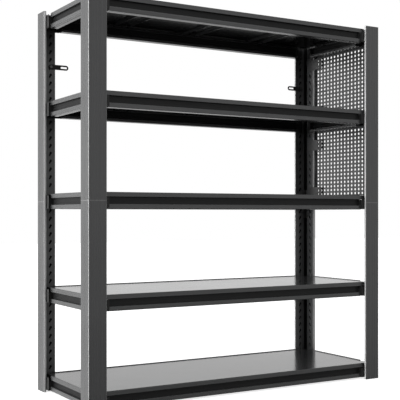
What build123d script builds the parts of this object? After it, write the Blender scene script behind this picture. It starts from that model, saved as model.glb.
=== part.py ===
from build123d import *
import math
import os

# A five-tier boltless steel storage rack: four two-piece folded posts, hooked
# beams round each tier, lift-out deck panels, two perforated side panels and
# two wall anchors. Millimetres, +Z up, origin on the floor under the middle
# of the rack. The open front faces -Y.

# Overall
RACK_WIDTH = 1612.0  # outside the posts, left to right
RACK_DEPTH = 608.0  # outside the posts, front to back
HALF_POST = 900.0  # length of one half of a post; two halves stand end to end

# Posts: a folded angle whose flanges are turned back to make a hollow wall
POST_FACE = 86.0  # outside width of each flange
POST_WALL = 13.0  # outside to inside of the hollow flange
POST_STEEL = 1.5
POST_BEND = 3.0  # inside radius of the folds
CORNER_GAP = 12.0  # from the inner corner to where each turned-back leg stops

# Keyhole slots in the turned-back legs
SLOT_PITCH = 37.7
SLOT_INSET = 30.0  # from the flange's edge to the row of slots
SLOT_ENTRY = 12.0  # diameter of the wide end
SLOT_NECK = 8.0  # width of the narrow end
SLOT_DROP = 11.0  # wide end above the narrow end
SLOT_SHIFT = 6.0  # wide end to the side of the narrow end
SLOT_SPACE = 25.0  # least height between a regular row and one of the middle tier's

# Tiers
TIER_STEPS = 11  # slot pitches between the outer pairs of tiers
FIRST_TIER = 81.0  # top of the lowest tier above the floor
TOP_DROP = 12.0  # top of the highest tier below the post's end
MIDDLE_RISE = 37.4  # top of the middle tier above the joint of the half posts

# Beams: one folded section for all four sides of a tier
BEAM_SETBACK = 24.0  # beam's face behind the post's face
BEAM_HEIGHT = 72.0
BEAM_STEEL = 1.2
BEAM_BEND = 0.8
RIB_DEPTH = 12.0  # how far the two ribs stand out of the web
TOP_RIB = 21.0  # height of the upper rib
LOW_RIB = 20.0  # height of the lower rib
RIM_WIDTH = 10.0  # width of the upper rib's top
LEDGE_DROP = 11.0  # deck ledge below the beam's top
LEDGE_WIDTH = 26.0
FOOT_FLANGE = 36.0  # width of the beam's bottom flange
FOOT_LIP = 12.0
LONG_BEAM_GAP = 17.0  # end of a front or rear beam short of the post's flange
RIB_LAP = 8.0  # its upper rib runs on past the flange's edge
SIDE_BEAM_GAP = 26.0  # end of a side beam short of the post's flange

# Hook plates: angle brackets on the beams' ends
PLATE_STEEL = 2.5
PLATE_TOP = 8.0  # plate's upper edge below the beam's top
PLATE_BOTTOM = 70.0
PLATE_REACH = 16.0  # plate past the row of slots, towards the corner
PLATE_NOTCH = 1.0  # notch in a long beam's plate below the upper rib that runs over it
RETURN_TOP = 23.0  # top of the leg on the beam's end below the beam's top
RETURN_DEPTH = 44.0
STUD_DROP = 22.0  # upper stud below the beam's top
STUD_DIAMETER = 7.0
HEAD_DIAMETER = 10.5
HEAD_HEIGHT = 2.5
STUD_PLAY = 0.2  # head clear of the turned-back leg

# Deck panels
DECK_STEEL = 1.0
DECK_PLAY = 1.2  # gap round the panel
DECK_SINK = 3.0  # panel's top below the beams' rims
CHANNEL_WIDTH = 76.0
CHANNEL_DEPTH = 16.0
CHANNEL_STEEL = 1.2
CHANNEL_BEND = 0.6
CHANNEL_SPACING = 400.0
CHANNEL_COUNT = 3
CHANNEL_PLAY = 2.0  # channel's end clear of the beam's ledge

# Perforated side panels
PANEL_STEEL = 1.2
PANEL_DROP = 64.0  # panel's top below the tier above, outside the side beam's lower rib
PANEL_LAP = 20.0  # most that a panel reaches below the top of the tier under it
TOP_MARGIN = 23.0  # upper edge to the highest row of holes
LOW_MARGIN = 12.0  # lowest row of holes to the lower edge
END_MARGIN = 26.0  # least from the end columns of holes to the panel's ends
PANEL_GAP = 2.0  # panel's ends short of the posts' flanges
PANEL_DEPTH = 8.0  # panel's rims, which end flush with the posts' inner faces
PANEL_RETURN = 15.0  # end rims' second fold, where the clips are fixed
ROW_PITCH = 20.85
COLUMN_PITCH = 28.4
HOLE_DIAMETER = 12.5
CLIP_STEEL = 1.5
CLIP_HEIGHT = 58.0
CLIP_ROWS = {"lower": (3, 10), "upper": (2, 9)}  # slot rows below the tier above
CLIP_DROP = 10.0  # clip's middle below its stud
REAR_CLIP_LAP = 70.0  # rear clips over the panel
FRONT_CLIP_LAP = 14.0
CLIP_REACH = 12.0  # clip past the row of slots
CLIP_SLOT_INSET = 26.0  # rear clip's long slot from the clip's end
CLIP_SLOT_WIDTH = 5.0
CLIP_SLOT_LENGTH = 40.0

# Wall anchors on the rear posts
ANCHOR_STEEL = 2.5
ANCHOR_HEIGHT = 24.0
ANCHOR_LENGTH = 90.0  # bolt to the rounded end
ANCHOR_TAIL = 12.0
ANCHOR_SLOT = 33.0
ANCHOR_SLOT_WIDTH = 9.0
ANCHOR_SLOT_END = 7.0  # slot short of the rounded end
ANCHOR_ROW = 6  # slot rows below the highest row
BOLT_DIAMETER = 8.0
BOLT_FIT = 0.05  # radial clearance of the anchor on its bolt
BOLT_HEAD = 13.0
BOLT_HEAD_HEIGHT = 5.3
NUT_ACROSS = 13.0
NUT_HEIGHT = 6.5
BOLT_TAIL = 1.0  # bolt past its nut

# Plastic inserts
INSERT_PLAY = 0.3
INSERT_LEG = 43.0
JOINT_LENGTH = 160.0
FOOT_HEIGHT = 25.0

post_height = 2 * HALF_POST
half_width = RACK_WIDTH / 2
half_depth = RACK_DEPTH / 2
tier_pitch = TIER_STEPS * SLOT_PITCH
tier_tops = [
    FIRST_TIER,
    FIRST_TIER + tier_pitch,
    HALF_POST + MIDDLE_RISE,
    post_height - TOP_DROP - tier_pitch,
    post_height - TOP_DROP,
]
middle_tier = 2
slot_line = POST_FACE - SLOT_INSET  # row of slots from the post's outer corner
stud_drops = [STUD_DROP, STUD_DROP + SLOT_PITCH]
highest_row = tier_tops[-1] - stud_drops[0]
lowest_row = tier_tops[0] - stud_drops[1]
corners = {
    "front_left": (-1, -1),
    "front_right": (1, -1),
    "rear_left": (-1, 1),
    "rear_right": (1, 1),
}

os.makedirs("parts", exist_ok=True)


def save(name, solids):
    """Write one node's solids as a STEP file."""
    export_step(Compound(children=list(solids)), f"parts/{name}.step")


def cuboid(low, high):
    """Block between two opposite corners."""
    size = [b - a for a, b in zip(low, high)]
    centre = [(a + b) / 2 for a, b in zip(low, high)]
    return Pos(*centre) * Box(*size)


def folded_section(points, steel, bend):
    """Face of a folded sheet whose middle line runs through the points."""
    path = [Vector(*point) for point in points]
    runs = [(b - a).normalized() for a, b in zip(path, path[1:])]
    sides = {1: [], -1: []}
    rounds = {bend: [], bend + steel: []}
    for i, point in enumerate(path):
        before = runs[max(i - 1, 0)]
        after = runs[min(i, len(runs) - 1)]
        middle = (before + after).normalized()
        across = Vector(-middle.Y, middle.X)
        reach = steel / 2 / across.dot(Vector(-after.Y, after.X))
        turn = before.X * after.Y - before.Y * after.X
        for side in (1, -1):
            corner = point + across * (reach * side)
            sides[side].append(corner)
            if turn * side > 0:
                rounds[bend].append(corner)
            elif turn * side < 0:
                rounds[bend + steel].append(corner)
    outline = sides[1] + sides[-1][::-1]
    face = make_face(Polyline(*outline, close=True))
    for radius, places in rounds.items():
        picked = [
            vertex
            for vertex in face.vertices()
            if any((Vector(vertex) - place).length < steel / 4 for place in places)
        ]
        face = fillet(picked, radius)
    return face


def to_corner(shape, corner):
    """Move a shape made at the front left corner to another corner."""
    side, end = corners[corner]
    if side > 0:
        shape = mirror(shape, about=Plane.YZ)
    if end > 0:
        shape = mirror(shape, about=Plane.XZ)
    return shape


# ---------------------------------------------------------------- posts


def post_section():
    mid = POST_STEEL / 2
    leg_end = POST_WALL + CORNER_GAP
    far = POST_FACE - mid
    inner = POST_WALL - mid
    return folded_section(
        [
            (leg_end, inner),
            (far, inner),
            (far, mid),
            (mid, mid),
            (mid, far),
            (inner, far),
            (inner, leg_end),
        ],
        POST_STEEL,
        POST_BEND,
    )


def slot_cutter(side, end, along_x):
    """Keyhole through a turned-back leg; the wide end lies towards +X or +Y."""
    sketch = Pos(SLOT_SHIFT, SLOT_DROP) * Circle(SLOT_ENTRY / 2)
    neck = Vector(SLOT_SHIFT, SLOT_DROP)
    lean = neck.get_angle(Vector(1, 0))
    sketch += Pos(SLOT_SHIFT / 2, SLOT_DROP / 2) * Rot(0, 0, lean) * SlotCenterToCenter(
        neck.length, SLOT_NECK
    )
    deep = 2 * POST_STEEL
    leg = POST_WALL - POST_STEEL / 2
    if along_x:
        keyhole = extrude(Plane.XZ * sketch, deep / 2, both=True)
        return Pos(side * (half_width - slot_line), end * (half_depth - leg), 0) * keyhole
    keyhole = extrude(Plane.YZ * sketch, deep / 2, both=True)
    return Pos(side * (half_width - leg), end * (half_depth - slot_line), 0) * keyhole


def slot_heights():
    """Heights of the slots' narrow ends in the lower and the upper half post."""
    middle_upper, middle_lower = [tier_tops[middle_tier] - drop for drop in stud_drops]
    steps = range(int(HALF_POST // SLOT_PITCH))
    lower = [lowest_row + step * SLOT_PITCH for step in steps]
    upper = [highest_row - step * SLOT_PITCH for step in steps]
    lower = [z for z in lower if z < middle_lower - SLOT_SPACE]
    upper = [z for z in upper if z > middle_upper + SLOT_SPACE]
    return lower + [middle_lower], upper + [middle_upper]


section = Pos(-half_width, -half_depth, 0) * post_section()
for corner, (side, end) in corners.items():
    blank = to_corner(extrude(section, HALF_POST), corner)
    cutters = [slot_cutter(side, end, along_x) for along_x in (True, False)]
    for name, base, heights in zip(
        ("lower", "upper"), (0, HALF_POST), slot_heights(), strict=True
    ):
        half = Pos(0, 0, base) * blank
        slots = [Pos(0, 0, z) * cutter for z in heights for cutter in cutters]
        half -= slots
        save(f"{name}_post_{corner}", half.solids())


def insert_solid(low, high):
    """Plastic angle held inside the hollow flanges of the front left post."""
    near = POST_STEEL
    thick = POST_WALL - 2 * POST_STEEL - INSERT_PLAY
    first = cuboid((near, near, low), (INSERT_LEG, near + thick, high))
    second = cuboid((near, near, low), (near + thick, INSERT_LEG, high))
    solid = first + second
    outer_edge = solid.edges().filter_by(Axis.Z).sort_by_distance((0, 0, (low + high) / 2))[0]
    solid = fillet(outer_edge, POST_BEND + 1)
    return Pos(-half_width, -half_depth, 0) * solid


joint_low = HALF_POST - JOINT_LENGTH / 2
joint_insert = insert_solid(joint_low, joint_low + JOINT_LENGTH)
foot_plug = insert_solid(0, FOOT_HEIGHT)
for corner in corners:
    save(f"post_joint_{corner}", to_corner(joint_insert, corner).solids())
    save(f"foot_plug_{corner}", to_corner(foot_plug, corner).solids())

# ---------------------------------------------------------------- beams


def beam_section():
    """Folded section; X is depth behind the post's face, Y is height from the top."""
    mid = BEAM_STEEL / 2
    face = BEAM_SETBACK + mid
    web = BEAM_SETBACK + RIB_DEPTH + mid
    rim = BEAM_SETBACK + RIM_WIDTH - mid
    foot = BEAM_SETBACK + FOOT_FLANGE - mid
    bottom = mid - BEAM_HEIGHT
    ledge = -LEDGE_DROP - mid
    return folded_section(
        [
            (foot, bottom + FOOT_LIP),
            (foot, bottom),
            (face, bottom),
            (face, LOW_RIB - BEAM_HEIGHT - mid),
            (web, LOW_RIB - BEAM_HEIGHT - mid),
            (web, mid - TOP_RIB),
            (face, mid - TOP_RIB),
            (face, -mid),
            (rim, -mid),
            (rim, ledge),
            (rim + LEDGE_WIDTH, ledge),
        ],
        BEAM_STEEL,
        BEAM_BEND,
    )


section = beam_section()
long_half = half_width - POST_FACE - LONG_BEAM_GAP
lap_half = half_width - POST_FACE + RIB_LAP
side_half = half_depth - POST_FACE - SIDE_BEAM_GAP
notch_depth = BEAM_SETBACK + RIB_DEPTH + LEDGE_WIDTH + FOOT_FLANGE


def long_beam():
    """Front beam with its top at height 0; the upper rib laps over the hook plates."""
    placed = Plane(origin=(-lap_half, -half_depth, 0), x_dir=(0, 1, 0), z_dir=(1, 0, 0))
    beam = extrude(placed * section, 2 * lap_half)
    for side in (-1, 1):
        inner, outer = sorted((side * long_half, side * (lap_half + 1)))
        low = -BEAM_HEIGHT - 1
        front = BEAM_SETBACK - half_depth
        beam -= cuboid((inner, front - 1, low), (outer, front + notch_depth, -TOP_RIB))
        rim_back = front + RIM_WIDTH
        beam -= cuboid((inner, rim_back, low), (outer, rim_back + notch_depth, 1))
    return beam


def side_beam():
    """Left side beam with its top at height 0."""
    placed = Plane(origin=(-half_width, side_half, 0), x_dir=(1, 0, 0), z_dir=(0, -1, 0))
    return extrude(placed * section, 2 * side_half)


# ---------------------------------------------------------------- hook plates


def stud(depth):
    """Headed stud along -Y whose plate face lies at the given depth."""
    neck = POST_STEEL + STUD_PLAY
    shank = Pos(0, depth - neck / 2, 0) * Rot(90, 0, 0) * Cylinder(STUD_DIAMETER / 2, neck)
    head_at = depth - neck - HEAD_HEIGHT / 2
    return shank + Pos(0, head_at, 0) * Rot(90, 0, 0) * Cylinder(HEAD_DIAMETER / 2, HEAD_HEIGHT)


def hook_plate(beam_end, span_half, side, notch_end=None):
    """Plate for one end of a front beam, in a frame whose Y is depth from the post's face."""
    flat = span_half - slot_line + PLATE_REACH
    inner, outer = sorted((side * beam_end, side * flat))
    plate = cuboid(
        (inner, POST_WALL, -PLATE_BOTTOM), (outer, POST_WALL + PLATE_STEEL, -PLATE_TOP)
    )
    inner, outer = sorted((side * beam_end, side * (beam_end + PLATE_STEEL)))
    plate += cuboid(
        (inner, POST_WALL, -PLATE_BOTTOM), (outer, POST_WALL + RETURN_DEPTH, -RETURN_TOP)
    )
    if notch_end is not None:
        inner, outer = sorted((side * beam_end, side * notch_end))
        notch_low = (inner, POST_WALL, -TOP_RIB - PLATE_NOTCH)
        plate -= cuboid(notch_low, (outer, POST_WALL + PLATE_STEEL, 0))
    for drop in stud_drops:
        plate += Pos(side * (span_half - slot_line), 0, -drop) * stud(POST_WALL)
    return plate


front_plates = [
    Pos(0, -half_depth, 0) * hook_plate(long_half, half_width, side, lap_half) for side in (-1, 1)
]
rear_plates = [mirror(plate, about=Plane.XZ) for plate in front_plates]
left_plates = [
    Rot(0, 0, -90) * (Pos(0, -half_width, 0) * hook_plate(side_half, half_depth, side))
    for side in (-1, 1)
]
right_plates = [mirror(plate, about=Plane.YZ) for plate in left_plates]
plates = front_plates + rear_plates + left_plates + right_plates
front_beam = long_beam()
left_beam = side_beam()
beams = {
    "front_beam": front_beam,
    "rear_beam": mirror(front_beam, about=Plane.XZ),
    "left_beam": left_beam,
    "right_beam": mirror(left_beam, about=Plane.YZ),
}

# ---------------------------------------------------------------- decks


def deck_panel():
    """Folded panel that drops between the rims onto the ledges."""
    inset = BEAM_SETBACK + RIM_WIDTH + DECK_PLAY
    reach_x = half_width - inset
    reach_y = half_depth - inset
    panel = cuboid((-reach_x, -reach_y, -LEDGE_DROP), (reach_x, reach_y, -DECK_SINK))
    panel = fillet(panel.edges().filter_by(Axis.Z), 2 * DECK_STEEL)
    return offset(panel, -DECK_STEEL, openings=panel.faces().sort_by(Axis.Z)[0])


def deck_channels():
    """Open channels under the panel, from ledge to ledge."""
    half = CHANNEL_WIDTH / 2 - CHANNEL_STEEL / 2
    top = -DECK_SINK - DECK_STEEL - CHANNEL_STEEL / 2
    reach = half_depth - BEAM_SETBACK - RIM_WIDTH - LEDGE_WIDTH - CHANNEL_PLAY
    profile = folded_section(
        [(-half, top - CHANNEL_DEPTH), (-half, top), (half, top), (half, top - CHANNEL_DEPTH)],
        CHANNEL_STEEL,
        CHANNEL_BEND,
    )
    channel = extrude(Plane.XZ * profile, reach, both=True)
    first = -CHANNEL_SPACING * (CHANNEL_COUNT - 1) / 2
    return [Pos(first + i * CHANNEL_SPACING, 0, 0) * channel for i in range(CHANNEL_COUNT)]


panel = deck_panel()
channels = deck_channels()
for number, top in enumerate(tier_tops, start=1):
    for name, beam in beams.items():
        save(f"{name}_{number}", (Pos(0, 0, top) * beam).solids())
    save(f"hook_plates_{number}", [Pos(0, 0, top) * plate for plate in plates])
    save(f"deck_panel_{number}", (Pos(0, 0, top) * panel).solids())
    save(f"deck_channels_{number}", [Pos(0, 0, top) * channel for channel in channels])

# ---------------------------------------------------------------- side panels


panel_half = half_depth - POST_FACE - PANEL_GAP
panel_seat = half_width - POST_WALL  # plane of the rims' edges and the posts' inner faces
margins = TOP_MARGIN + LOW_MARGIN
row_gaps = int((tier_pitch + PANEL_LAP - PANEL_DROP - margins) // ROW_PITCH)
column_gaps = int(2 * (panel_half - END_MARGIN) // COLUMN_PITCH)
panel_height = row_gaps * ROW_PITCH + margins


def perforated_panel(top):
    """Sheet with rims all round, a second fold at each end and a grid of peg holes."""
    low = top - panel_height
    face = panel_seat + PANEL_DEPTH
    sheet = cuboid((panel_seat, -panel_half, low), (face, panel_half, top))
    sheet -= cuboid(
        (panel_seat - 1, PANEL_STEEL - panel_half, low + PANEL_STEEL),
        (face - PANEL_STEEL, panel_half - PANEL_STEEL, top - PANEL_STEEL),
    )
    for end in (-1, 1):
        near, far = sorted((end * (panel_half - PANEL_RETURN), end * panel_half))
        sheet += cuboid((panel_seat, near, low), (panel_seat + PANEL_STEEL, far, top))
    grid = GridLocations(COLUMN_PITCH, ROW_PITCH, column_gaps + 1, row_gaps + 1)
    holes = Plane.YZ * Sketch(children=[spot * Circle(HOLE_DIAMETER / 2) for spot in grid])
    cutter = extrude(holes, 2 * PANEL_STEEL, both=True)
    grid_middle = top - TOP_MARGIN - row_gaps * ROW_PITCH / 2
    return sheet - Pos(face, 0, grid_middle) * cutter


def panel_clip(height, end):
    """Flat plate from a slot in a right post over the end of the side panel."""
    slot_at = half_depth - slot_line
    lap = REAR_CLIP_LAP if end > 0 else FRONT_CLIP_LAP
    middle = height - CLIP_DROP
    near, far = sorted((end * (panel_half - lap), end * (slot_at + CLIP_REACH)))
    clip = cuboid(
        (panel_seat - CLIP_STEEL, near, middle - CLIP_HEIGHT / 2),
        (panel_seat, far, middle + CLIP_HEIGHT / 2),
    )
    if end > 0:
        slot = Plane.YZ * Rot(0, 0, 90) * SlotOverall(CLIP_SLOT_LENGTH, CLIP_SLOT_WIDTH)
        cutter = extrude(slot, 2 * CLIP_STEEL, both=True)
        clip -= Pos(panel_seat, near + CLIP_SLOT_INSET, middle) * cutter
    return clip + Pos(0, end * slot_at, height) * Rot(0, 0, 90) * stud(-panel_seat)


# Slot rows from the tier above down to the first whose clip lies below the hook plates
clear_rows = math.ceil((PLATE_BOTTOM + CLIP_HEIGHT / 2 - CLIP_DROP - STUD_DROP) / SLOT_PITCH)
panel_tiers = {"lower": tier_tops[3], "upper": tier_tops[4]}
for name, tier in panel_tiers.items():
    save(f"{name}_side_panel", perforated_panel(tier - PANEL_DROP).solids())
    rows = [max(row, clear_rows) for row in CLIP_ROWS[name]]
    heights = [tier - STUD_DROP - row * SLOT_PITCH for row in rows]
    save(f"{name}_panel_clips", [panel_clip(z, end) for z in heights for end in (-1, 1)])

# ---------------------------------------------------------------- wall anchors


def wall_anchor():
    """Slotted strip on the left rear post, bolt hole at the origin, lying along +X."""
    strip = Pos((ANCHOR_LENGTH - ANCHOR_TAIL) / 2, 0) * SlotOverall(
        ANCHOR_LENGTH + ANCHOR_TAIL, ANCHOR_HEIGHT
    )
    slot_at = ANCHOR_LENGTH - ANCHOR_SLOT_END - ANCHOR_SLOT / 2
    strip -= Pos(slot_at, 0) * SlotOverall(ANCHOR_SLOT, ANCHOR_SLOT_WIDTH)
    strip -= Circle(BOLT_DIAMETER / 2 + BOLT_FIT)
    return extrude(Plane.XZ * strip, ANCHOR_STEEL)


def anchor_bolt():
    """Hexagon bolt along Y with its head's seat at the origin, head towards -Y."""
    length = ANCHOR_STEEL + POST_STEEL + NUT_HEIGHT + BOLT_TAIL
    shank = extrude(Plane.XZ * Circle(BOLT_DIAMETER / 2), -length)
    head = RegularPolygon(BOLT_HEAD / 2, 6, major_radius=False)
    return shank + extrude(Plane.XZ * head, BOLT_HEAD_HEIGHT)


def anchor_nut():
    """Hexagon nut along Y with its seat at the origin, body towards +Y."""
    outline = RegularPolygon(NUT_ACROSS / 2, 6, major_radius=False) - Circle(BOLT_DIAMETER / 2)
    return extrude(Plane.XZ * outline, -NUT_HEIGHT)


anchor_height = highest_row - ANCHOR_ROW * SLOT_PITCH + SLOT_DROP
seat = half_depth - POST_WALL
anchor_places = {"left": slot_line - half_width, "right": half_width - slot_line}
bolts = []
nuts = []
for name, place in anchor_places.items():
    strip = wall_anchor()
    if name == "right":
        strip = mirror(strip, about=Plane.YZ)
    bolt_x = place + SLOT_SHIFT
    save(f"wall_anchor_{name}", (Pos(bolt_x, seat, anchor_height) * strip).solids())
    bolts.append(Pos(bolt_x, seat - ANCHOR_STEEL, anchor_height) * anchor_bolt())
    nuts.append(Pos(bolt_x, seat + POST_STEEL, anchor_height) * anchor_nut())
save("wall_anchor_bolts", bolts)
save("wall_anchor_nuts", nuts)
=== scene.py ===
import math

import bmesh
import bpy
from mathutils import Matrix, Vector


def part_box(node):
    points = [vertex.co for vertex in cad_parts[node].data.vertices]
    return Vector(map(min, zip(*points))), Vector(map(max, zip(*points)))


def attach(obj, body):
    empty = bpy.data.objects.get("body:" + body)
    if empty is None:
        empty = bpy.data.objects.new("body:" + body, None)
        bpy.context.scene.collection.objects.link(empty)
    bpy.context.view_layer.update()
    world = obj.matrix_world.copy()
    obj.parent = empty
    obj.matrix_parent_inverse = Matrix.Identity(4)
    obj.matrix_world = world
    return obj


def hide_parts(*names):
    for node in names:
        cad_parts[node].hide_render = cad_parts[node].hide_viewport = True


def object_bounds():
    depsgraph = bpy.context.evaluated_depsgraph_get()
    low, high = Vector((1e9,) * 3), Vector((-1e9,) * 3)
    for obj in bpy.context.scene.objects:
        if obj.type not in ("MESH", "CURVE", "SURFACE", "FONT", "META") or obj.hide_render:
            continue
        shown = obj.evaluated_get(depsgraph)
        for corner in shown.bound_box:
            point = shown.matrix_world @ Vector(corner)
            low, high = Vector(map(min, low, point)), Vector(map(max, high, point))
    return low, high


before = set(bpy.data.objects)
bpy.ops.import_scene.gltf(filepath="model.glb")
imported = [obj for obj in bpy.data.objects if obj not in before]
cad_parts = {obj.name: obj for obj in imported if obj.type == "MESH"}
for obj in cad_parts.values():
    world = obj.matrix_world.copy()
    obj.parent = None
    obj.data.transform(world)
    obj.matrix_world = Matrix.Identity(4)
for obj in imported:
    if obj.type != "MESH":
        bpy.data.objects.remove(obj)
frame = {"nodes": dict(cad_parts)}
cad_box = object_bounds()
nodes = frame["nodes"]
tiers = range(1, 6)

# ---------------------------------------------------------------- posts
# Each post is two half-length steel angles, roll-formed with hollow flanges and
# stood end to end. They are powder coated charcoal: a satin skin with a fine
# peel, faint lines left by the rolls, and thin, paler paint on the sawn ends.
# Pale strips on the outer corner bend and the flanges' narrow ends are painted
# highlights, and the faces inside the hollow flanges get painted shade.


class Wire:
    """One output of a node, used in sums; every operator adds a Math node."""

    def __init__(self, nodes, socket):
        self.nodes = nodes
        self.socket = socket

    def maths(self, operation, *values):
        sockets = dict(enumerate(values))
        return self.nodes.node("ShaderNodeMath", {"operation": operation}, sockets)

    def __add__(self, other):
        return self.maths("ADD", self, other)

    __radd__ = __add__

    def __sub__(self, other):
        return self.maths("SUBTRACT", self, other)

    def __rsub__(self, other):
        return self.maths("SUBTRACT", other, self)

    def __mul__(self, other):
        return self.maths("MULTIPLY", self, other)

    __rmul__ = __mul__

    def __abs__(self):
        return self.maths("ABSOLUTE", self)

    def fade(self, start, end):
        """0 at start and 1 at end, smooth between, whichever is larger."""
        settings = {"interpolation_type": "SMOOTHSTEP"}
        sockets = {"Value": self, "From Min": start, "From Max": end}
        return self.nodes.node("ShaderNodeMapRange", settings, sockets)

    def out(self, name):
        """Another output of the same node."""
        return Wire(self.nodes, self.socket.node.outputs[name])


class Nodes:
    """A shader or geometry tree, and the one way nodes are added to it."""

    def __init__(self, tree):
        self.tree = tree

    def node(self, kind, settings=None, sockets=None, out=0):
        made = self.tree.nodes.new(kind)
        for key, value in (settings or {}).items():
            setattr(made, key, value)
        for key, value in (sockets or {}).items():
            given = value if isinstance(value, list) else [value]
            for one in given:
                if isinstance(one, Wire):
                    self.tree.links.new(one.socket, made.inputs[key])
                else:
                    made.inputs[key].default_value = one
        return Wire(self, made.outputs[out]) if len(made.outputs) else None

    def noise(self, place, scale, detail=2.0, roughness=0.5):
        """Soft random value about 0.5 at a place; scale is lumps to the metre."""
        sockets = {"Vector": place, "Scale": scale, "Detail": detail, "Roughness": roughness}
        return self.node("ShaderNodeTexNoise", None, sockets)

    def flatten(self, place, *axes):
        """The place with only these axes left, for marks that run along the others."""
        parts = self.node("ShaderNodeSeparateXYZ", None, {"Vector": place})
        kept = {axis: parts.out(axis) for axis in axes}
        return self.node("ShaderNodeCombineXYZ", None, kept)

    def blend(self, amount, first, second):
        """Mix of two colours."""
        settings = {"data_type": "RGBA"}
        return self.node("ShaderNodeMix", settings, {0: amount, 6: first, 7: second}, out=2)

    def bump(self, height, distance, under=None):
        """Normal of a surface raised by height times distance."""
        sockets = {"Height": height, "Distance": distance}
        if under is not None:
            sockets["Normal"] = under
        return self.node("ShaderNodeBump", None, sockets)


def finish_nodes(name):
    """A new material, its empty tree and the place on the piece in metres."""
    material = bpy.data.materials.new(name)
    material.use_nodes = True
    material.node_tree.nodes.clear()
    made = Nodes(material.node_tree)
    place = made.node("ShaderNodeTexCoord").out("Object")
    return material, made, place


def close_finish(made, sockets, shade_mask=None):
    """The shader itself, joined to the output; where the mask given is 1 there is only a
    near-black dull film, which is painted shade.
    """
    shader = made.node("ShaderNodeBsdfPrincipled", None, sockets)
    if shade_mask is not None:
        shade_film_look = {"Base Color": PAINTED_SHADE_TONE, "Roughness": 0.9, "Specular IOR Level": 0.05}
        shade_film = made.node("ShaderNodeBsdfPrincipled", None, shade_film_look)
        mixed = made.tree.nodes.new("ShaderNodeMixShader")
        for key, wire in enumerate((shade_mask, shader, shade_film)):
            made.tree.links.new(wire.socket, mixed.inputs[key])
        shader = Wire(made, mixed.outputs[0])
    made.node("ShaderNodeOutputMaterial", None, {"Surface": shader})


def grey(value, warmth=0.0):
    """Neutral colour, a little warmer or cooler."""
    return (value * (1 + warmth), value, value * (1 - warmth), 1.0)


COAT_DARK = grey(0.036, -0.02)
COAT_LIGHT = grey(0.052, -0.02)
COAT_THIN = grey(0.16)
COAT_HIGHLIGHT = grey(0.55)  # painted highlight on narrow edges and the corner bend
COAT_ROUGH = 0.27
PAINTED_SHADE_TONE = grey(0.006)  # near-black dull film: painted shade in the posts' hollows and on the beams' web
HALF_WIDTH, HALF_DEPTH = cad_box[1][0], cad_box[1][1]
HOLLOW = 0.013  # thickness of a hollow flange
SKIN = (0.0011, 0.0014)  # depths between which the flange's steel gives way to its hollow
FLANGE_INSIDE = (0.0845, 0.0835)  # the hollow's far end, from the post's outer corner
FLANGE_END = (0.0838, 0.0852)  # the flange's narrow end, from the post's outer corner
CORNER_BENDS = ((0.0032, 0.0012), (0.0036, 0.0016))  # painted highlight strip either side of the corner
ROLL_SCALE, ROLL_HEIGHT = 95, 0.00025  # lines left by the rolls, to the metre
CLOUD_SCALE = 2.6  # broad drifts of tone to the metre
SPECK_SCALE = 1900  # pale specks to the metre
PEEL_SCALE, PEEL_HEIGHT = 620, 0.00006  # lumps of orange peel to the metre


def corner_depths(made, place):
    """How far a place lies behind the posts' outer faces, along X and along Y."""
    parts = made.node("ShaderNodeSeparateXYZ", None, {"Vector": place})
    halves = (("X", HALF_WIDTH), ("Y", HALF_DEPTH))
    return [half - abs(parts.out(axis)) for axis, half in halves]


def hollow(depths):
    """1 on the faces inside the posts' hollow flanges, where painted shade goes."""
    masks = []
    for depth, other in (depths, depths[::-1]):
        wall = depth.fade(*SKIN) * depth.fade(HOLLOW - SKIN[0], HOLLOW - SKIN[1])
        masks.append(wall * other.fade(*SKIN) * other.fade(*FLANGE_INSIDE))
    return masks[0].maths("MAXIMUM", *masks)


def edge_highlights(depths):
    """1 on the flanges' narrow ends, and 1 along the outer corner bend: where the painted
    highlights go.
    """
    ends = [
        other.fade(*FLANGE_END) * depth.fade(HOLLOW + 0.0006, HOLLOW)
        for depth, other in (depths, depths[::-1])
    ]
    bend = depths[0].fade(*CORNER_BENDS[0]) * depths[1].fade(*CORNER_BENDS[1])
    return ends[0].maths("MAXIMUM", *ends), bend


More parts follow.
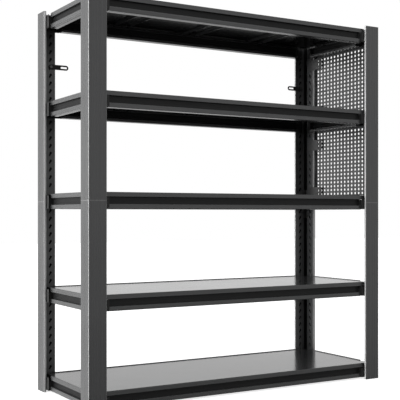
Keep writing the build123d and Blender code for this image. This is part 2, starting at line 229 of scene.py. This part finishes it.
def powder_coat(name, across, sawn_at=None, recess_axis=None, shine=0.5):
    """Charcoal powder coat; roll lines vary only over the axes named in across.

    sawn_at is the height of the posts' sawn ends, and also turns on the posts'
    painted highlights on the corner bend and flange ends and painted shade in the
    hollow flanges. recess_axis is the axis along which a beam's web lies deeper than
    its ribs; the web gets painted shade.
    """
    material, made, place = finish_nodes(name)
    rolled = made.noise(made.flatten(place, *across), ROLL_SCALE, 1.0)
    cloud = made.noise(place, CLOUD_SCALE, 3.0)
    tone = rolled.fade(0.3, 0.7) * 0.45 + cloud.fade(0.25, 0.75) * 0.55
    colour = made.blend(tone, COAT_DARK, COAT_LIGHT)
    speck = made.noise(place, SPECK_SCALE, 0.0).fade(0.70, 0.78)
    colour = made.blend(speck * 0.35, colour, COAT_THIN)
    rough = COAT_ROUGH + (cloud - 0.5) * 0.10 + (rolled - 0.5) * 0.08
    shade_mask = None
    if sawn_at is not None:
        height = made.node("ShaderNodeSeparateXYZ", None, {"Vector": place}).out("Z")
        wear_and_highlight_noise = made.noise(place, 180, 2.0).fade(0.25, 0.75)
        bare = abs(height - sawn_at).fade(0.0022, 0.0008) * (0.55 + wear_and_highlight_noise * 0.45)
        colour = made.blend(bare, colour, COAT_THIN)
        scuff = made.noise(place, 240, 3.0, 0.7).fade(0.62, 0.74) * height.fade(0.05, 0.0)
        colour = made.blend(scuff * 0.6, colour, COAT_THIN)
        depths = corner_depths(made, place)
        ends, bend = edge_highlights(depths)
        # Painted highlights: pale strips on the flanges' narrow ends and the outer corner bend.
        colour = made.blend(ends * (0.70 + wear_and_highlight_noise * 0.2), colour, COAT_HIGHLIGHT)
        colour = made.blend(bend * (0.65 + wear_and_highlight_noise * 0.3), colour, COAT_HIGHLIGHT)
        # Painted shade: near-black film on the faces inside the hollow flanges.
        shade_mask = hollow(depths)
    if recess_axis is not None:
        depth = corner_depths(made, place)["XY".index(recess_axis)]
        # Painted shade: near-black film on the beam's recessed web.
        shade_mask = abs(depth - WEB_DEPTH).fade(*WEB_LIMITS) * RECESS_SHADE
    peel = made.noise(place, PEEL_SCALE, 1.0)
    normal = made.bump(rolled, ROLL_HEIGHT, made.bump(peel, PEEL_HEIGHT))
    sockets = {"Base Color": colour, "Roughness": rough, "Normal": normal}
    close_finish(made, {"Specular IOR Level": shine, **sockets}, shade_mask)
    return material


def paint(names, material):
    """Give CAD nodes their material."""
    for name in names:
        for entry in nodes[name].material_slots:
            entry.material = material


seam_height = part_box("lower_post_front_left")[1].z
corners = [f"{end}_{side}" for end in ("front", "rear") for side in ("left", "right")]
post_coat = powder_coat("post_powder_coat", ("X", "Y"), seam_height)
paint([f"{half}_post_{corner}" for half in ("lower", "upper") for corner in corners], post_coat)

# ---------------------------------------------------------------- plastic inserts
# A foot plug in each post's lower end and a joint strip across each seam, both
# injection-moulded black plastic pushed into the hollow flanges.


def moulded_plastic():
    """Black plastic with a fine moulded grain."""
    material, made, place = finish_nodes("moulded_black_plastic")
    cloud = made.noise(place, 30, 3.0)
    grain = made.noise(place, 1400, 2.0)
    colour = made.blend(cloud, grey(0.012), grey(0.022))
    rough = 0.5 + (grain - 0.5) * 0.25
    normal = made.bump(grain, 0.00008)
    close_finish(made, {"Base Color": colour, "Roughness": rough, "IOR": 1.46, "Normal": normal})
    return material


plastic = moulded_plastic()
paint([f"{kind}_{corner}" for kind in ("foot_plug", "post_joint") for corner in corners], plastic)

# ---------------------------------------------------------------- beams
# Roll-formed strip with two ribs, powder coated with the posts. The roll lines
# run along the beam, so the front and rear beams and the side beams differ. The
# recessed web between the ribs is darkened by a near-black film: painted shade.

WEB_DEPTH = 0.0365  # middle of the recessed web behind the posts' faces
WEB_LIMITS = (0.0022, 0.0012)  # distances from there between which the painted shade fades in
RECESS_SHADE = 0.8  # strength of the painted shade on the web

long_coat = powder_coat("long_beam_powder_coat", ("Y", "Z"), recess_axis="Y")
side_coat = powder_coat("side_beam_powder_coat", ("X", "Z"), recess_axis="X")
paint([f"{end}_beam_{n}" for end in ("front", "rear") for n in tiers], long_coat)
paint([f"{side}_beam_{n}" for side in ("left", "right") for n in tiers], side_coat)

# ---------------------------------------------------------------- hook plates
# Pressed 2.5 mm steel angles welded in the beams' ends, each with two headed
# studs for the keyholes, riveted over on the plate's back. The same powder, made
# darker to stand in for the shade inside the posts: painted shade.


def plate_coat():
    """Dull black coat, darker than the posts' powder as painted shade."""
    material, made, place = finish_nodes("hook_plate_coat")
    cloud = made.noise(place, 14, 3.0)
    peel = made.noise(place, PEEL_SCALE, 1.0)
    # Darker than the posts' coat: painted shade for the plates inside the posts.
    colour = made.blend(cloud, grey(0.010), grey(0.020))
    rough = 0.55 + (cloud - 0.5) * 0.12
    normal = made.bump(peel, PEEL_HEIGHT)
    sockets = {"Base Color": colour, "Roughness": rough, "Normal": normal}
    close_finish(made, {"Specular IOR Level": 0.25, **sockets})
    return material


hook_coat = plate_coat()
paint([f"hook_plates_{n}" for n in tiers], hook_coat)
paint([f"{part}_panel_clips" for part in ("lower", "upper")], hook_coat)


class Recipe(Nodes):
    """A Geometry Nodes tree with named sizes, which grows plain mesh pieces."""

    def __init__(self, name, sizes):
        super().__init__(bpy.data.node_groups.new(name, "GeometryNodeTree"))
        sockets = self.tree.interface
        sockets.new_socket("Geometry", in_out="OUTPUT", socket_type="NodeSocketGeometry")
        sockets.new_socket("Geometry", in_out="INPUT", socket_type="NodeSocketGeometry")
        self.sizes = {}
        for size, value in sizes.items():
            made = sockets.new_socket(size, in_out="INPUT", socket_type="NodeSocketFloat")
            self.sizes[made.identifier] = value
        self.given = self.node("NodeGroupInput")

    def close(self, geometry, material):
        """Realize what was made, give it its material and end the tree."""
        real = self.node("GeometryNodeRealizeInstances", None, {"Geometry": geometry})
        done = self.node("GeometryNodeSetMaterial", None, {"Geometry": real, "Material": material})
        self.node("NodeGroupOutput", None, {"Geometry": done})

    def grow(self, name, mesh, body, slot):
        """One piece made from a mesh by this tree, riding on a body."""
        piece = bpy.data.objects.new(name, mesh)
        bpy.context.collection.objects.link(piece)
        modifier = piece.modifiers.new("recipe", "NODES")
        modifier.node_group = self.tree
        for identifier, value in self.sizes.items():
            modifier[identifier] = value
        evaluated = piece.evaluated_get(bpy.context.evaluated_depsgraph_get())
        grown = bpy.data.meshes.new_from_object(evaluated)
        piece.modifiers.remove(modifier)
        piece.data = grown
        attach(piece, body)
        return piece


def button_recipe(name, foot, crown, rise, material):
    """Low round buttons on points, each standing along its point's facing."""
    recipe = Recipe(name, {"Foot radius": foot, "Crown radius": crown, "Rise": rise})
    sizes = {"Radius Bottom": "Foot radius", "Radius Top": "Crown radius", "Depth": "Rise"}
    sockets = {key: recipe.given.out(size) for key, size in sizes.items()}
    button = recipe.node("GeometryNodeMeshCone", None, {"Vertices": 14, **sockets})
    named = {"data_type": "FLOAT_VECTOR"}
    facing = recipe.node("GeometryNodeInputNamedAttribute", named, {"Name": "facing"})
    turn = recipe.node("FunctionNodeAlignRotationToVector", {"axis": "Z"}, {"Vector": facing})
    sockets = {"Points": recipe.given.out("Geometry"), "Instance": button, "Rotation": turn}
    recipe.close(recipe.node("GeometryNodeInstanceOnPoints", None, sockets), material)
    return recipe


def facing_points(name, spots):
    """Loose points, each with the direction that it faces."""
    mesh = bpy.data.meshes.new(name)
    mesh.from_pydata([place for place, _ in spots], [], [])
    facing = mesh.attributes.new("facing", "FLOAT_VECTOR", "POINT")
    facing.data.foreach_set("vector", [part for _, way in spots for part in way])
    return mesh


STUD_INSET = 0.056  # studs from the post's outer corner
STUD_DROPS = (0.022, 0.0597)  # below the tier's top
PLATE_BACK = 0.0155  # plates' inner side behind the post's face
TAIL_FOOT, TAIL_CROWN, TAIL_RISE = 0.0052, 0.0036, 0.0012
tier_tops = {n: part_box(f"front_beam_{n}")[1].z for n in tiers}
tail_recipe = button_recipe("rivet_tails", TAIL_FOOT, TAIL_CROWN, TAIL_RISE, hook_coat)
for n, tier_top in tier_tops.items():
    spots = []
    for side in (-1, 1):
        for end in (-1, 1):
            for drop in STUD_DROPS:
                z = tier_top - drop
                x, y = side * (HALF_WIDTH - STUD_INSET), end * (HALF_DEPTH - PLATE_BACK)
                spots.append(((x, y, z), (0, -end, 0)))
                x, y = side * (HALF_WIDTH - PLATE_BACK), end * (HALF_DEPTH - STUD_INSET)
                spots.append(((x, y, z), (-side, 0, 0)))
    places = facing_points("rivet_places", spots)
    tail_recipe.grow(f"rivet_tails_{n}", places, "root", "hook_steel")

# ---------------------------------------------------------------- decks
# Folded 1 mm steel panels that drop onto the beams' ledges, with three open
# channels spot-welded under each. A smoother, glossier coat than the beams'.


def deck_coat():
    """Smooth, glossy charcoal coat with faint drawing lines."""
    material, made, place = finish_nodes("deck_gloss_coat")
    cloud = made.noise(place, 3.2, 3.0)
    drawn = made.noise(made.flatten(place, "Y"), 160, 2.0)
    colour = made.blend(cloud.fade(0.3, 0.7), grey(0.034, -0.02), grey(0.046, -0.02))
    rough = 0.17 + (cloud - 0.5) * 0.05 + (drawn - 0.5) * 0.03
    ripple = made.noise(place, 5.5, 1.0)
    peel = made.noise(place, 420, 1.0)
    normal = made.bump(ripple, 0.0006, made.bump(peel, 0.00002))
    close_finish(made, {"Base Color": colour, "Roughness": rough, "IOR": 1.5, "Normal": normal})
    return material


gloss = deck_coat()
paint([f"deck_{part}_{n}" for part in ("panel", "channels") for n in tiers], gloss)

CHANNELS = (-0.4, 0, 0.4)  # middles of the channels
WEB_UNDER = 0.0052  # underside of a channel's web below the tier's top
WELD_SPACING = 0.058
WELD_STEPS = 4  # welds each side of a row's middle one
WELD_ROW = 0.019  # rows of welds either side of a channel's middle
WELD_FOOT, WELD_CROWN, WELD_RISE = 0.0035, 0.0020, 0.0005
weld_recipe = button_recipe("weld_spots", WELD_FOOT, WELD_CROWN, WELD_RISE, gloss)
for n, tier_top in tier_tops.items():
    spots = []
    for channel in CHANNELS:
        for row in (-WELD_ROW, WELD_ROW):
            for step in range(-WELD_STEPS, WELD_STEPS + 1):
                place = (channel + row, step * WELD_SPACING, tier_top - WEB_UNDER)
                spots.append((place, (0, 0, -1)))
    places = facing_points("weld_places", spots)
    weld_recipe.grow(f"weld_spots_{n}", places, f"deck_{n}", "deck_steel")

# ---------------------------------------------------------------- side panels
# Perforated sheet with folded rims behind its edges, hung between the right
# posts by four clips.

PANEL_SHINE = 0.1  # a duller coat than the posts'
panel_coat = powder_coat("side_panel_powder_coat", ("Z",), shine=PANEL_SHINE)
SHEET = 0.0012
FOLD = 0.003  # outside radius of the folds
RETURN = 0.015  # second fold of the end rims
HOLE_RADIUS = 0.00625
ROW_PITCH, ROWS = 0.02085, 17
COLUMN_PITCH, COLUMNS = 0.0284, 14
TOP_MARGIN = 0.023  # panel's top to the middle of the highest row
HOLE_SIDES = 16
WELDED = 0.00001  # points nearer than this are one


def perforated_recipe(width, height, row_shift):
    """Flat sheet in the plane of Y and Z, with round holes on a grid and a real thickness."""
    recipe = Recipe("perforated_sheet", {
        "Width": width, "Height": height, "Hole radius": HOLE_RADIUS, "Thickness": SHEET,
        "Grid width": (COLUMNS - 1) * COLUMN_PITCH, "Grid height": (ROWS - 1) * ROW_PITCH,
    })
    size = recipe.given.out
    counts = {"Vertices X": COLUMNS, "Vertices Y": ROWS}
    spans = {"Size X": size("Grid width"), "Size Y": size("Grid height")}
    grid = recipe.node("GeometryNodeMeshGrid", None, {**spans, **counts})
    circle = {"Resolution": HOLE_SIDES, "Radius": size("Hole radius")}
    ring = recipe.node("GeometryNodeCurvePrimitiveCircle", None, circle)
    rings = recipe.node("GeometryNodeInstanceOnPoints", None, {"Points": grid, "Instance": ring})
    rings = recipe.node("GeometryNodeRealizeInstances", None, {"Geometry": rings})
    shift = {"Geometry": rings, "Translation": (0, row_shift, 0)}
    rings = recipe.node("GeometryNodeTransform", None, shift)
    edge = {"Width": size("Width"), "Height": size("Height")}
    edge = recipe.node("GeometryNodeCurvePrimitiveQuadrilateral", None, edge)
    outline = recipe.node("GeometryNodeJoinGeometry", None, {"Geometry": [edge, rings]})
    sheet = recipe.node("GeometryNodeFillCurve", None, {"Curve": outline})
    back = recipe.node("GeometryNodeFlipFaces", None, {"Mesh": sheet})
    sockets = {"Mesh": sheet, "Offset Scale": size("Thickness"), "Individual": False}
    front = recipe.node("GeometryNodeExtrudeMesh", None, sockets)
    solid = recipe.node("GeometryNodeJoinGeometry", None, {"Geometry": [back, front]})
    weld = {"Geometry": solid, "Distance": WELDED}
    solid = recipe.node("GeometryNodeMergeByDistance", None, weld)
    turn = {"Geometry": solid, "Rotation": (math.radians(90), 0, math.radians(90))}
    recipe.close(recipe.node("GeometryNodeTransform", None, turn), panel_coat)
    return recipe


def fold_arc(middle, start, steps=5):
    """Points of a quarter fold about a middle, starting at an angle in degrees."""
    angles = [math.radians(start + 90 * step / steps) for step in range(steps + 1)]
    return [(middle[0] + FOLD * math.cos(a), middle[1] + FOLD * math.sin(a)) for a in angles]


def add_rim(body, profile, to_place, start, stop):
    """Strip of sheet along a line, its outer side given by a profile."""
    near, far = [
        [body.verts.new(to_place(out, across, along)) for out, across in profile]
        for along in (start, stop)
    ]
    for i in range(len(profile) - 1):
        body.faces.new((near[i], near[i + 1], far[i + 1], far[i]))


def side_panel(part):
    """Perforated face, and the rims folded back from it to the posts."""
    low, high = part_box(f"{part}_side_panel")
    width, height = high.y - low.y, high.z - low.z
    row_shift = height / 2 - TOP_MARGIN - (ROWS - 1) * ROW_PITCH / 2
    recipe = perforated_recipe(width - 2 * FOLD, height - 2 * FOLD, row_shift)
    seed = bpy.data.meshes.new("sheet_seed")
    seed.from_pydata([(0, 0, 0)], [], [])
    face = recipe.grow(f"{part}_perforated_sheet", seed, "root", "powder_coat")
    middle = (low.z + high.z) / 2
    face.data.transform(Matrix.Translation((high.x - SHEET, 0, middle)))
    rims = bmesh.new()
    for end in (-1, 1):
        edge, span = width / 2, end * (height / 2 - FOLD)
        first = fold_arc((high.x - FOLD, edge - FOLD), 0)
        second = fold_arc((low.x + FOLD, edge - FOLD), 90)
        profile = first + second + [(low.x, edge - RETURN)]
        add_rim(rims, profile, lambda x, y, z: (x, end * y, middle + z), -span, span)
        edge, span = height / 2, end * (width / 2 - FOLD)
        profile = fold_arc((high.x - FOLD, edge - FOLD), 0) + [(low.x, edge)]
        add_rim(rims, profile, lambda x, z, y: (x, y, middle + end * z), span, -span)
    mesh = bpy.data.meshes.new(f"{part}_panel_rims")
    rims.to_mesh(mesh)
    rims.free()
    for polygon in mesh.polygons:
        polygon.use_smooth = True
    mesh.materials.append(panel_coat)
    piece = bpy.data.objects.new(f"{part}_panel_rims", mesh)
    bpy.context.collection.objects.link(piece)
    wall = piece.modifiers.new("wall", "SOLIDIFY")
    wall.thickness = SHEET
    wall.offset = -1
    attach(piece, "root")
    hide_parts(f"{part}_side_panel")


side_panel("lower")
side_panel("upper")

# ---------------------------------------------------------------- wall anchors
# Slotted steel strips that swing on a bolt through a keyhole of each rear post. The
# strips are coated like the hook plates; the bolts and nuts are black zinc.


def black_zinc():
    """Zinc plate passivated black."""
    material, made, place = finish_nodes("black_zinc_plate")
    cloud = made.noise(place, 160, 3.0)
    colour = made.blend(cloud, grey(0.05), grey(0.11))
    rough = 0.32 + (cloud - 0.5) * 0.2
    close_finish(made, {"Base Color": colour, "Roughness": rough, "Metallic": 0.85})
    return material


zinc = black_zinc()
paint(["wall_anchor_left", "wall_anchor_right"], hook_coat)
paint(["wall_anchor_bolts", "wall_anchor_nuts"], zinc)

# ---------------------------------------------------------------- studio
# A pale floor, an even white surround and large soft lights.

scene = bpy.context.scene
scene.view_settings.view_transform = "Standard"
FLOOR_REACH = 20.0
FLOOR_GLOW = 0.75  # keeps the floor near white where the lights fall off


def studio_floor():
    """Pale floor that throws no light back on the rack."""
    material, made, place = finish_nodes("pale_floor")
    cloud = made.noise(place, 0.8, 2.0)
    colour = made.blend(cloud, grey(0.86), grey(0.9))
    glow = {"Emission Color": grey(1.0), "Emission Strength": FLOOR_GLOW}
    close_finish(made, {"Base Color": colour, "Roughness": 0.9, **glow})
    half = FLOOR_REACH
    mesh = bpy.data.meshes.new("studio_floor")
    edge = [(-half, -half, 0), (half, -half, 0), (half, half, 0), (-half, half, 0)]
    mesh.from_pydata(edge, [], [(0, 1, 2, 3)])
    mesh.materials.append(material)
    floor = bpy.data.objects.new("studio_floor", mesh)
    scene.collection.objects.link(floor)
    floor.visible_diffuse = False
    floor.visible_glossy = False


studio_floor()


REAR_LIGHT = 1.0
FRONT_LIGHT = 0.95
LEFT_LIGHT = 4.4
TOP_LIGHT = 0.2


def white_surround():
    """White wherever the camera looks. As light it is brightest at the left and dim below."""
    world = bpy.data.worlds.new("white_surround")
    scene.world = world
    world.use_nodes = True
    world.node_tree.nodes.clear()
    made = Nodes(world.node_tree)
    ray = made.node("ShaderNodeTexCoord").out("Generated")
    parts = made.node("ShaderNodeSeparateXYZ", None, {"Vector": ray})
    right, back, up = parts.out("X"), parts.out("Y"), parts.out("Z")
    level = up.fade(0.55, 0.35)
    rear = back.fade(-0.2, 0.4) * (up.fade(-0.9, -0.5) * level)
    front = back.fade(0.4, -0.2) * (up.fade(-0.3, -0.1) * level)
    band = up.fade(-0.45, -0.3) * up.fade(0.5, 0.35)
    left = right.fade(-0.52, -0.62) * band * back.fade(-0.5, -0.2)
    top = up.fade(0.35, 0.55)
    light = rear * REAR_LIGHT + front * FRONT_LIGHT + left * LEFT_LIGHT + top * TOP_LIGHT
    seen = made.node("ShaderNodeLightPath").out("Is Camera Ray")
    strength = seen + light * (1 - seen)
    backdrop = made.node("ShaderNodeBackground", None, {"Color": grey(1.0), "Strength": strength})
    made.node("ShaderNodeOutputWorld", None, {"Surface": backdrop})


white_surround()


def softbox(name, place, aim, size, power):
    """Rectangular area light at a place, turned to face a point."""
    light = bpy.data.lights.new(name, "AREA")
    light.shape = "RECTANGLE"
    light.size, light.size_y = size
    light.energy = power
    lamp = bpy.data.objects.new(name, light)
    scene.collection.objects.link(lamp)
    lamp.location = place
    lamp.rotation_euler = (Vector(aim) - Vector(place)).to_track_quat("-Z", "Y").to_euler()
    lamp.visible_camera = False


middle = Vector((0, 0, cad_box[1][2] / 2))
softbox("front_high", (0.4, -2.4, 4.6), middle, (3.5, 2.0), 45)
softbox("left_mid", (-4.6, 0.4, 2.4), middle, (2.5, 2.0), 60)

camera = bpy.data.cameras.new("camera")
camera.sensor_width = 36.0
camera.lens = 79.97
camera.shift_y = 0.035
viewer = bpy.data.objects.new("camera", camera)
scene.collection.objects.link(viewer)
viewer.location = (-2.309, -3.761, 0.842)
viewer.rotation_euler = (math.radians(90), 0, -0.535)
scene.camera = viewer
